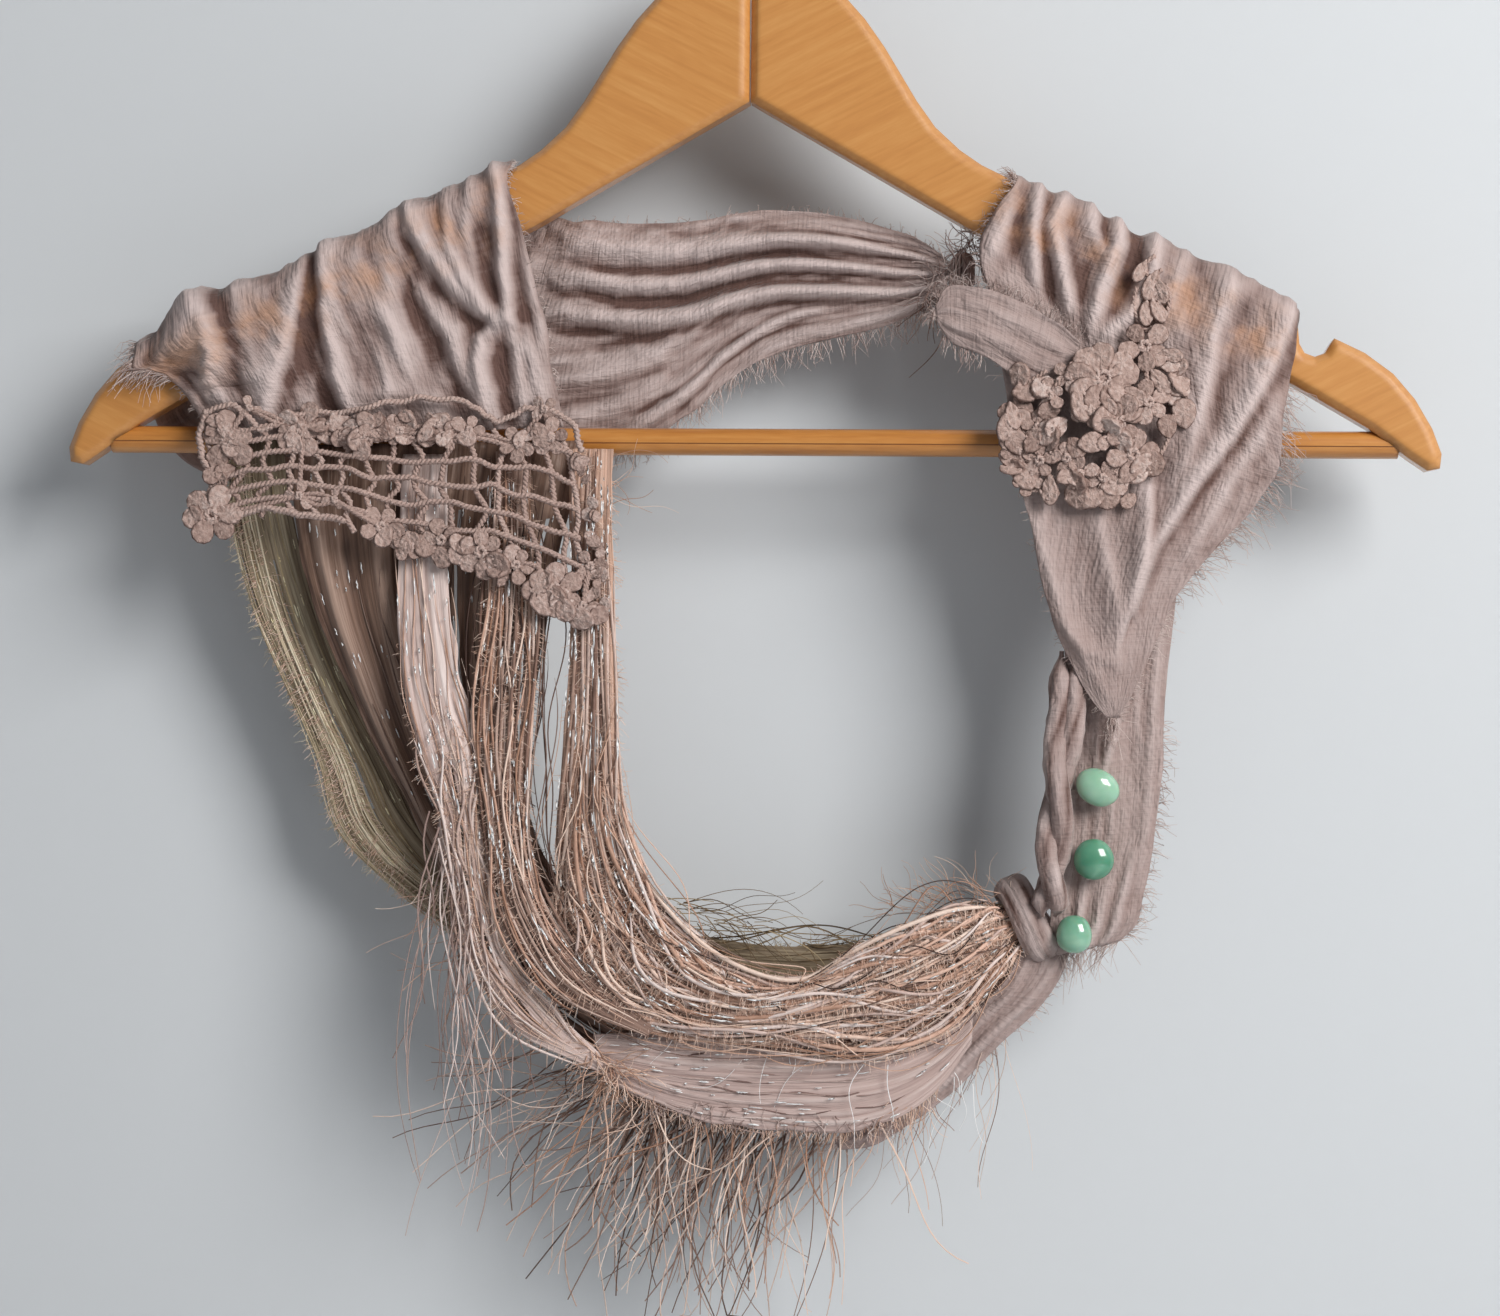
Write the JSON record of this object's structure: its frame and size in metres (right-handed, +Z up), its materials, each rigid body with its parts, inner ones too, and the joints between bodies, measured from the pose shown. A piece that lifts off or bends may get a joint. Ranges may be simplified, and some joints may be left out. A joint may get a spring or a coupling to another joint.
{
  "type": "scarf necklace on a wooden hanger",
  "caption": "Loop scarf necklace of gauze, crochet lace and shredded ribbons with jade beads, draped on a wooden clothes hanger.",
  "frame": {"origin": "top of the hook's inside, where it rests on a rail", "axes": "+X to the viewer's right along the hanger, +Y to the back, +Z up"},
  "size_m": [0.445, 0.0436, 0.5076],
  "materials": {
    "lacquered_beech": "honey lacquer, glossy",
    "steel_wire": "plated wire, bright",
    "mauve_gauze": "thin creased gauze, mottled dusty mauve, frayed edges",
    "crochet_cotton": "matte crochet cotton, dusty taupe",
    "olive_ribbon": "shredded ribbon, olive gold with metallic threads",
    "taupe_ribbon": "shredded ribbon, brown taupe with metallic threads",
    "pink_ribbon": "shredded ribbon, dusty pink and peach with silver threads",
    "brown_thread": "loose brown threads",
    "jade": "polished green stone, glossy"
  },
  "bodies": {
    "root": {"hanger_arm_left": "lacquered_beech", "hanger_arm_right": "lacquered_beech", "hanger_bar": "lacquered_beech", "hanger_hook": "steel_wire", "drape_left": "mauve_gauze", "neck_stretch": "mauve_gauze", "tie_binding": "brown_thread", "drape_right": "mauve_gauze", "collar_tab": "mauve_gauze", "tail": "mauve_gauze", "braid_strand_1": "mauve_gauze", "braid_strand_2": "mauve_gauze", "knot_ring": "mauve_gauze", "gauze_end": "mauve_gauze", "crochet_band": "crochet_cotton", "crochet_rosette": "crochet_cotton", "crochet_scrap": "crochet_cotton", "ribbon_olive": "olive_ribbon", "ribbon_taupe": "taupe_ribbon", "ribbon_satin": "pink_ribbon", "ribbon_mauve": "pink_ribbon", "ribbon_cords": "pink_ribbon", "ribbon_swag": "pink_ribbon", "fringe_fall": "brown_thread", "fringe_sweep": "brown_thread", "fringe_left": "brown_thread", "fringe_right": "brown_thread", "jade_bead_1": "jade", "jade_bead_2": "jade", "jade_bead_3": "jade"}
  },
  "joints": []
}
